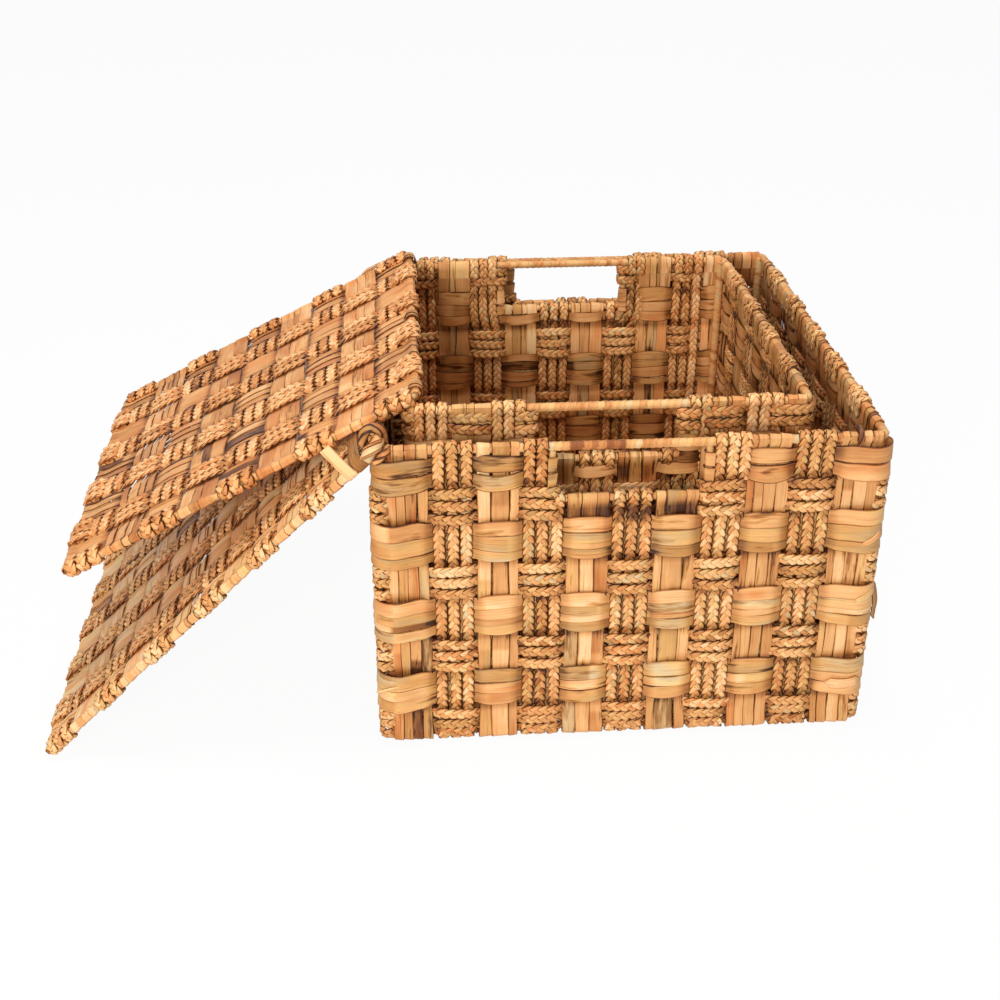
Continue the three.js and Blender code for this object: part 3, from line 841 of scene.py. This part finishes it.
def lay_row(box, number):
    """One row of a box, as rings, or as two lengths with turned-back ends beside the slots."""
    plaited = box.row_plaits[number]
    points, outward, walls, along = wall_ring(box)
    lift = row_lift_plait if plaited else row_lift_flat
    front_signs = box.over(box.front_plaits, plaited)
    side_signs = box.over(box.side_plaits, plaited)
    corner_lift = np.where(points[:, 0] < 0, *corner_lifts(box, number, plaited))
    out = corner_lift.copy()
    # How deep the row lies in the gaps between the columns, where its leaf is painted darker as shade.
    depth = np.zeros(len(points))
    on_front = (walls == 0) | (walls == 2)
    on_side = (walls == 1) | (walls == 3)
    for wall, centres, signs in ((on_front, (box.front_places, box.pitch_x), front_signs),
                                 (on_side, (box.side_places, box.pitch_y), side_signs)):
        out[wall] = lift * crossing(along[wall], *centres, signs)
        depth[wall] = between(along[wall], *centres)
    side_reach = len(box.side_places) / 2 * box.pitch_y
    past = on_side & (abs(along) > side_reach)
    out[past] = (corner_lift * np.clip((abs(along) - side_reach) / (8 * mm), 0, 1))[past]
    depth[past] = 0
    # At the end of the last column a row over it rises slowly to the corner, and a row under it comes
    # out only round the bend.
    turned = np.arctan2(abs(outward[:, 0]), abs(outward[:, 1]))
    ramp = 30 * mm
    ramp_end = 4 * mm
    bend_start = 12 * mm
    bend_turn = math.radians(50)
    for end, sign in ((-1, front_signs[0]), (1, front_signs[-1])):
        if sign > 0:
            start = box.half_x - ramp_end - ramp
            near_corner = on_front & (along * end > start)
            share = np.clip((along * end - start) / ramp, 0, 1)
        else:
            near_corner = on_front & (along * end > box.half_x - bend_start) | (walls == -1)
            near_corner &= points[:, 0] * end > 0
            share = np.clip(turned / bend_turn, 0, 1)
        share = share * share * (3 - 2 * share)
        out[near_corner] = (sign * lift * (1 - share) + corner_lift * share)[near_corner]
        depth[near_corner] = 0
    if box is large_box and (plaited or number in painted_lit_rows):
        # The plaits are of paler leaf, and two of the flat bands, the lower ones, are painted paler as
        # the light that falls more on the lower wall.
        depth = depth - (0.15 if plaited else 0.22)
    work = Leafwork(box.chance)
    top_row = number == row_count - 1
    up = np.array([0, 0, 1.0])
    # A band of flat leaf is squeezed together between the columns and broader on them.
    narrowest, more = (0.93, 0.09) if plaited else (0.94, 0.2)
    spread = narrowest + more * np.clip(abs(out) / lift, 0, 1)
    count = 2 if top_row else (3 if plaited else box.chance.choice((3, 3, 4)))
    for offset, width in strip_places(box.chance, plaited, box.pitch_z, count):
        middle = box.row_places[number]
        level = middle + offset
        if top_row and plaited:
            level = level + 2 * mm
        elif top_row:
            # Two narrow leaves lie close together and leave the rim bare.
            level = middle + offset * 0.8 - 7 * mm
            width = 13.5 * mm
        elif not plaited:
            level = level + (1.8 if box is large_box else 4) * mm
        if number == 0:
            # The lowest row is squeezed together, clear of the base's edge.
            level = level + (middle - level) * 0.14 + 2.2 * mm
        way = np.arange(len(points)) / len(points) * 2 * math.pi
        wander = sum(0.42 * mm * np.sin(way * turns + phase(box.chance)) for turns in (5, 9, 14, 23))
        height = middle + (level - middle) * spread + wander
        ring = points + out[:, None] * outward
        line = marked(np.column_stack([ring[:, 0] + box.middle_x, ring[:, 1], height]), depth, spread)
        tilt = -box.chance.uniform(0.5, 1.6)
        under_slot = not plaited and level < box.slot_z - 8 * mm
        if number < rows_below_slots or under_slot:
            line = soften(np.vstack([line[-3:], line, line[:3]]), 3)[3:-3]
            if plaited:
                lay_plait(work, line, up, width, closed=True)
            else:
                lay_flat(work, line, up, width, tilt, closed=True)
            continue
        rod = handle_rod_radius + (2.5 if plaited else 1.2) * mm
        bends = np.linspace(0, math.pi, 9)
        tails = np.array((4, 8, 13) if plaited else (1, 2.5, 4)) * mm
        for side, side_wall, upright in ((1, 1, box.slot_right), (-1, 3, box.slot_left)):
            chosen = on_front & (along * side > upright * side + 1 * mm) | (walls == side_wall)
            chosen |= (walls == -1) & (points[:, 0] * side > 0)
            order = np.flatnonzero(chosen)
            if side == -1:
                order = np.roll(order, -np.searchsorted(order, np.flatnonzero(walls == 2)[0]))
            length = soften(line[order], 3)
            ends = []
            for wall_y, near in ((-side, 0), (side, -1)):
                lies_out = np.sign(out[order[near]]) or 1
                centre = np.array([box.middle_x + upright, wall_y * box.half_y])
                toward = np.array([-side, 0.0])
                face = np.array([0.0, wall_y * lies_out])
                arc = [centre + rod * (face * math.cos(b) + toward * math.sin(b)) for b in bends]
                hook = np.array(arc + [arc[-1] - toward * tail for tail in tails])
                ends.append(marked(np.column_stack([hook, np.full(len(hook), length[near, 2])])))
            whole = np.vstack([ends[0][::-1], length[4:-4], ends[1]])
            if plaited:
                lay_plait(work, whole, up, width)
            else:
                lay_flat(work, whole, up, width, tilt)
    return work, plaited


for box in (large_box, small_box):
    for number in range(row_count):
        work, plaited = lay_row(box, number)
        finish, crease = (plait_finish, None) if plaited else (flat_finish, flat_crease)
        work.piece(f"{box.name}_row_{number + 1}", finish, box.name, "leaf_weave", crease=crease)

# The lids: woven as the walls are, of bands of flat leaf and sets of three plaits in turn, on a ring
# of wire wound with leaf. Each strip goes round the ring at both ends and is tucked back. Two plain
# wires cross each lid inside the weave and stiffen it.
lid_lift_flat = 1.9 * mm
lid_lift_plait = 2.5 * mm
lid_plait_swell = 1.08
lid_rod_radius = 3.5 * mm


class Lid:
    """The sizes of one lid, and the way from a place on it to its place at rest.

    Its flat leaves and its plaits are paler than the walls' by the shares of gap_shade given, and
    its strips' own numbers reach up to most_number.
    """

    def __init__(self, name, columns, column_pitch, rows, flats_paler, plaits_paler, most_number):
        self.name = name
        self.flats_paler = flats_paler
        self.plaits_paler = plaits_paler
        self.most_number = most_number
        low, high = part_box(name + "_edge_wire")
        tube = 4.7 * mm
        self.near = np.array([high.x - tube, 0, high.z - tube])
        far = np.array([low.x + tube, 0, low.z + tube])
        self.length = np.linalg.norm(far - self.near)
        self.half_depth = high.y - tube
        self.down = (far - self.near) / self.length
        self.side = np.array([0, 1.0, 0])
        self.up = np.cross(self.side, self.down)
        if self.up[2] < 0:
            self.up = -self.up
        self.chance = np.random.default_rng(7 * len(name) + columns)
        # The columns are counted from the far edge, which has a plaited one.
        self.column_edges = self.length - np.append(np.arange(columns) * column_pitch, self.length)
        self.column_plaits = np.arange(columns) % 2 == 0
        self.row_edges = np.linspace(-self.half_depth, self.half_depth, rows + 1)
        self.row_plaits = np.arange(rows) % 2 == 1

    def at(self, along, across, up):
        along, across, up = np.broadcast_arrays(along, across, up)
        return (self.near + along[:, None] * self.down + across[:, None] * self.side
                + up[:, None] * self.up)


large_lid = Lid("large_lid", columns=12, column_pitch=33.2 * mm, rows=13, flats_paler=0.36,
                plaits_paler=0.29, most_number=0.8)
small_lid = Lid("small_lid", columns=9, column_pitch=38.7 * mm, rows=9, flats_paler=-0.10,
                plaits_paler=0.20, most_number=0.2)


def lid_curve(edges, signs, lift, thick):
    """A strip's line seen edge on: along, up and gap depth for painted shade, from one side of the ring
    to the other.
    """
    reach = 10 * mm
    start, end = min(edges[0], edges[-1]), max(edges[0], edges[-1])
    middles = (edges[:-1] + edges[1:]) / 2
    halves = abs(edges[1:] - edges[:-1]) / 2
    rod = lid_rod_radius + thick
    along = np.arange(start + 1 * mm, end - 1 * mm, 1.2 * mm)
    nearest = abs(along[:, None] - middles).argmin(1)
    share = np.clip(abs(along - middles[nearest]) / halves[nearest] / 2, 0, 0.5)
    up = lift * signs[nearest] * np.cos(math.pi * share) ** 0.8
    first, last = signs[abs(start - middles).argmin()], signs[abs(end - middles).argmin()]
    from_start = closeness(along - start, reach)
    to_end = closeness(end - along, reach)
    up = up * (1 - from_start) + first * rod * from_start
    up = up * (1 - to_end) + last * rod * to_end
    # Round the ring, and back along its other side for a short way.
    turns = np.radians(np.linspace(90, 270, 11))
    back = np.linspace(16, 1, 8) * mm
    dip = np.where(back > reach, (back - reach) / (6 * mm), 0) * 0.5 * rod
    tail = np.column_stack([back, rod - dip])
    loop = np.column_stack([rod * np.cos(turns), rod * np.sin(turns)])
    head = np.vstack([tail, loop])
    level = np.zeros(len(head))
    opening = np.column_stack([start + head[:, 0], -first * head[:, 1], level])
    closing = np.column_stack([end - head[::-1, 0], -last * head[::-1, 1], level])
    # Painted shade: the strip is darker where it lies deep in the gaps at the crossings.
    depth = in_gap(share) * (1 - from_start) * (1 - to_end)
    return soften(np.vstack([opening, np.column_stack([along, up, depth]), closing]), 1)


def lay_lid(lid, along_rows):
    """The rows of a lid, which run from its hinge to its far edge, or its columns."""
    own, crossed = (lid.row_edges, lid.row_plaits), (lid.column_edges, lid.column_plaits)
    if not along_rows:
        own, crossed = crossed, own
    edges, plaits = own
    crossed_edges, crossed_plaits = crossed
    side = -lid.side if along_rows else lid.down
    flats, plaited_work = (Leafwork(lid.chance, lid.most_number) for work in range(2))
    for number, plaited in enumerate(plaits):
        middle = (edges[number] + edges[number + 1]) / 2
        pitch = abs(edges[number + 1] - edges[number])
        # A row lies above a column of the other kind, and under one of its own kind.
        signs = np.where(crossed_plaits == plaited, -1, 1) * (1 if along_rows else -1)
        lift, thick = (lid_lift_plait, 1.9 * mm) if plaited else (lid_lift_flat, 0.7 * mm)
        curve = lid_curve(crossed_edges, signs, lift, thick)
        lean = lid.chance.choice((-1, 1))
        count = 3 if plaited else lid.chance.choice((3, 3, 4))
        for offset, width in strip_places(lid.chance, plaited, pitch, count):
            way = np.linspace(0, 1, len(curve))
            wander = 0.35 * mm * np.sin(way * 25 + phase(lid.chance))
            place = middle + offset + wander
            along, across = (curve[:, 0], place) if along_rows else (place, curve[:, 0])
            paler = lid.plaits_paler if plaited else lid.flats_paler
            line = marked(lid.at(along, across, curve[:, 1]), curve[:, 2] - paler)
            if plaited:
                lay_plait(plaited_work, line, side, lid_plait_swell * width)
            else:
                lay_flat(flats, line, side, width, lean * lid.chance.uniform(*flat_tilt))
    return flats, plaited_work


wire_colour = (0.24, 0.20, 0.16, 1)
rust_colour = (0.20, 0.10, 0.05, 1)
cross_wire_radius = 1.2 * mm
cross_wire_sides = 8
steel_finish, nodes = new_finish("steel_wire")
place = nodes.add("ShaderNodeTexCoord", {}, output=3)
spots = nodes.add("ShaderNodeTexNoise", {}, Vector=place, Scale=160, Detail=3)
scratches = nodes.add("ShaderNodeTexNoise", {}, Vector=place, Scale=900, Detail=2)
rusty = nodes.add("ShaderNodeMapRange", {}, spots, 0.30, 0.52)
tint = mix_colours(nodes, "MIX", rusty, wire_colour, rust_colour)
dents = nodes.add("ShaderNodeBump", {}, Strength=0.15, Distance=0.2 * mm, Height=scratches)
steel = nodes.add("ShaderNodeBsdfPrincipled", {}, Base_Color=tint, Roughness=0.3 + rusty * 0.4,
                  Metallic=1 - rusty, Normal=dents)
nodes.add("ShaderNodeOutputMaterial", {}, steel)


def cross_wires(lid):
    for number in (1, 2):
        node = f"{lid.name}_cross_wire_{number}"
        low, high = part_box(node)
        along = (np.array(low + high) / 2 - lid.near) @ lid.down
        line = lid.at(along, np.linspace(low.y, high.y, 24), 0)
        wire = Leafwork(lid.chance)
        wire.sweep(line, np.cross(directions(line, False), lid.up), cross_wire_radius,
                   cross_wire_radius, round_outline(cross_wire_sides),
                   np.linspace(0, 1, cross_wire_sides + 1), 0.5)
        wire.piece(f"{lid.name}_inner_wire_{number}", steel_finish, lid.name, "steel_wire", node)


for lid in (large_lid, small_lid):
    cross_wires(lid)
    ring = rectangle_line(lid.length / 2, lid.half_depth, 9 * mm, lid.length / 2, 0)
    wind(lid, "wound_edge", "edge_wire", lid.at(*ring.T), lid.up, lid_rod_radius, closed=True)
    for along_rows, way in ((True, "rows"), (False, "columns")):
        flats, plaits = lay_lid(lid, along_rows)
        replaced = [lid.name + "_weave"] if along_rows else []
        flats.piece(f"{lid.name}_leaf_{way}", flat_finish, lid.name, "leaf_weave", *replaced,
                    crease=flat_crease)
        plaits.piece(f"{lid.name}_plait_{way}", plait_finish, lid.name, "leaf_weave")

# The hinges: three ties of leaf on the left wall of each box, each wound round the rim and round the
# near side of the lid's ring. The small lid's ring lies on the rim, so its ties stay with the box.
tie_clearance = 6.0 * mm
tie_stagger = 0.5 * mm
tie_slant = 0.8 * mm
depthwise = np.array([0, 1.0, 0])


def ends_of_tie(box, lid, across):
    """The middles of the rim and of the lid's ring where a tie goes round them."""
    rim_place = np.array([box.middle_x - box.half_x - rim_overhang, across, box.rim_z])
    return rim_place, lid.at(np.array([0.0]), across, 0.0)[0]


def tie(work, box, lid, across, width):
    """Three leaves side by side, each a closed loop round the rim and the lid's ring."""
    first, second = ends_of_tie(box, lid, across)
    toward = unit(second - first)
    beside = np.cross(toward, depthwise)
    turns = np.radians(np.linspace(90, 270, 13))[:, None]
    half_turn = np.cos(turns) * toward + np.sin(turns) * beside
    for number in range(3):
        reach = tie_clearance + tie_stagger * (number % 2)
        loop = np.vstack([first + reach * half_turn, second - reach * half_turn])
        loop[:, 1] += (number - 1) * width / 3
        slant = np.linspace(0, 2 * math.pi, len(loop), endpoint=False)
        loop[:, 1] += tie_slant * np.sin(slant + number)
        lay_flat(work, loop, depthwise, width / 3 + 1.2 * mm, tilt=0.6, closed=True, step=1.8 * mm)


for box, lid in ((large_box, large_lid), (small_box, small_lid)):
    for place in ("front", "middle", "back"):
        node = f"{box.name}_hinge_tie_{place}"
        low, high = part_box(node)
        across = (low.y + high.y) / 2
        work = Leafwork(box.chance)
        tie(work, box, lid, across, high.y - low.y)
        body = box.name if lid is small_lid else None
        made = work.piece(f"{box.name}_leaf_tie_{place}", flat_finish, body, "leaf_wrap", node,
                          crease=flat_crease)
        if lid is large_lid:
            start, end = ends_of_tie(box, lid, across)
            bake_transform(made)

# The knot at the front end of the large box's hinge wall: a bundle of brown leaf looped up from the
# corner of the rim, with paler bundles drawn through it. A small red-brown knot sits on the front of
# the same rim, near the right corner.
bundle_step = 1.6 * mm
bundle_leaves = 4
bundle_spread = 0.26


def smooth_line(points, count=40):
    """A smooth line through points given in millimetres."""
    points = np.array(points) * mm
    places = np.linspace(0, len(points) - 1, count)
    corner = np.clip(places.astype(int), 0, len(points) - 2)
    share = (places - corner)[:, None]
    before = points[np.maximum(corner - 1, 0)]
    after = points[np.minimum(corner + 2, len(points) - 1)]
    start, end = points[corner], points[corner + 1]
    return 0.5 * (2 * start + (end - before) * share
                  + (2 * before - 5 * start + 4 * end - after) * share ** 2
                  + (3 * start - before - 3 * end + after) * share ** 3)


def narrowing(line, sharpness, end):
    """How broad a leaf is along a line, from the share given at both ends up to 1."""
    way = np.linspace(0, 1, len(line))
    return np.clip(np.minimum(way, 1 - way) * sharpness, end, 1)


def bundle(work, points, side, width, tone, turns):
    """Several leaves laid together along a line and twisted a little."""
    line = evenly(smooth_line(points), bundle_step)
    out = unit(np.cross(directions(line, False), side))
    across = np.cross(out, directions(line, False))
    narrow = narrowing(line, 6, 0.35)
    for number in range(bundle_leaves):
        angle = turns * 2 * math.pi * np.linspace(0, 1, len(line)) + number * math.pi / 2
        face = np.cos(angle)[:, None] * across + np.sin(angle)[:, None] * out
        own_tone = np.clip(tone + 0.1 * work.chance.standard_normal(), 0.1, 1)
        work.sweep(line + bundle_spread * width * face * narrow[:, None], face,
                   0.3 * width * narrow, 0.7 * mm, flat_outline, flat_shares, own_tone)


knot = Leafwork(np.random.default_rng(5))
bundle(knot, [(-221, -226, 292), (-223.5, -229, 302), (-222, -232, 311), (-216, -231, 315.5),
              (-209.5, -233, 314), (-206.5, -229, 306), (-204, -227, 296)],
       depthwise, width=12 * mm, tone=0.50, turns=0.9)
bundle(knot, [(-208, -232, 308), (-213, -238, 303.5), (-219, -240, 296), (-222, -236, 290)],
       depthwise, width=17 * mm, tone=0.9, turns=0.6)
bundle(knot, [(-203, -230, 299), (-206, -235, 295), (-212, -237, 289), (-216, -234, 285)],
       depthwise, width=11 * mm, tone=0.78, turns=0.7)
knot.piece("large_box_hinge_knot", plait_finish, "large_box", "leaf_wrap", crease=flat_crease)
rim_knot = Leafwork(np.random.default_rng(6), 0.1)
bundle(rim_knot, [(186, -237.5, 289), (186.5, -238.1, 294.5), (187, -235.5, 299.4),
                  (186.5, -230.5, 301.2), (186, -225.5, 299), (185.8, -223.5, 294)],
       np.array([1.0, 0, 0]), width=8 * mm, tone=0.32, turns=0.5)
rim_knot.piece("large_box_rim_knot", plait_finish, "large_box", "leaf_wrap", crease=flat_crease)

# Loose leaf: a pale strip folded round the front edge of the large lid near its hinge, whose end
# stands off the lid, a brown leaf beside it that lies on the weave, and ends of leaf that lie loose on
# the rows at the front corners of the large box.
forward = (0, -1, 0)


def lid_strip(work, points, width, tone):
    """A leaf laid on the large lid, its points given in millimetres along, across and up."""
    line = evenly(large_lid.at(*smooth_line(points).T), 2 * mm)
    face = unit(np.cross(directions(line, False), large_lid.down))
    work.sweep(line, face, width / 2, 0.5 * mm, flat_outline, flat_shares, tone)


pale_strip = Leafwork(np.random.default_rng(8))
lid_strip(pale_strip, [(19.5, -214, -5.5), (19, -226, -6), (18.5, -232.5, -4), (18.3, -234.2, 1),
                       (18, -234.4, 9), (17.2, -234, 20), (16.5, -233, 31)],
          width=10.4 * mm, tone=0.97)
pale_strip.piece("large_lid_pale_strip", flat_finish, "large_lid", "leaf_weave",
                 "large_lid_edge_strip", crease=flat_crease)
brown_leaf = Leafwork(np.random.default_rng(9))
lid_strip(brown_leaf, [(7, -222, -5.5), (6.5, -229, -6), (6, -233.2, -4), (6, -234.2, 0),
                       (6.5, -233.2, 4.5), (7, -226, 7), (9, -205, 7.5), (13, -165, 5)],
          width=12.5 * mm, tone=0.30)
brown_leaf.piece("large_lid_brown_leaf", flat_finish, "large_lid", "leaf_weave", crease=flat_crease)


def loose_end(work, points, out, width, tone):
    """A leaf narrowed at both ends, along points given in millimetres; its face looks outwards."""
    line = evenly(smooth_line(points), 2 * mm)
    face = np.tile(np.array(out, float), (len(line), 1))
    half_width = width / 2 * narrowing(line, 8, 0.3)
    work.sweep(line, face, half_width, 0.45 * mm, flat_outline, flat_shares, tone)


ends = Leafwork(np.random.default_rng(10))
loose_end(ends, [(216, -226, 152), (219, -227, 142), (221, -228, 130), (220.5, -228, 118),
                 (222, -228, 112)], (0.6, -0.8, 0), width=7 * mm, tone=0.42)
loose_end(ends, [(182, -237.2, 51), (194, -240.4, 51), (206, -240.6, 52.5), (213, -236.8, 54)],
          forward, width=11 * mm, tone=0.9)
loose_end(ends, [(198, -241, 138.5), (206, -239.8, 141), (212, -237, 143.5), (217, -232, 146)],
          forward, width=6 * mm, tone=0.95)
loose_end(ends, [(198, -240.6, 195.5), (206, -239.9, 198.5), (212, -237, 202), (216, -232.5, 205)],
          forward, width=5.5 * mm, tone=0.92)
loose_end(ends, [(-200, -240.6, 67), (-208, -241.6, 66.5), (-215, -241.8, 65), (-222, -241.5, 63)],
          forward, width=2.2 * mm, tone=1.0)
ends.piece("large_box_loose_ends", flat_finish, "large_box", "leaf_weave")
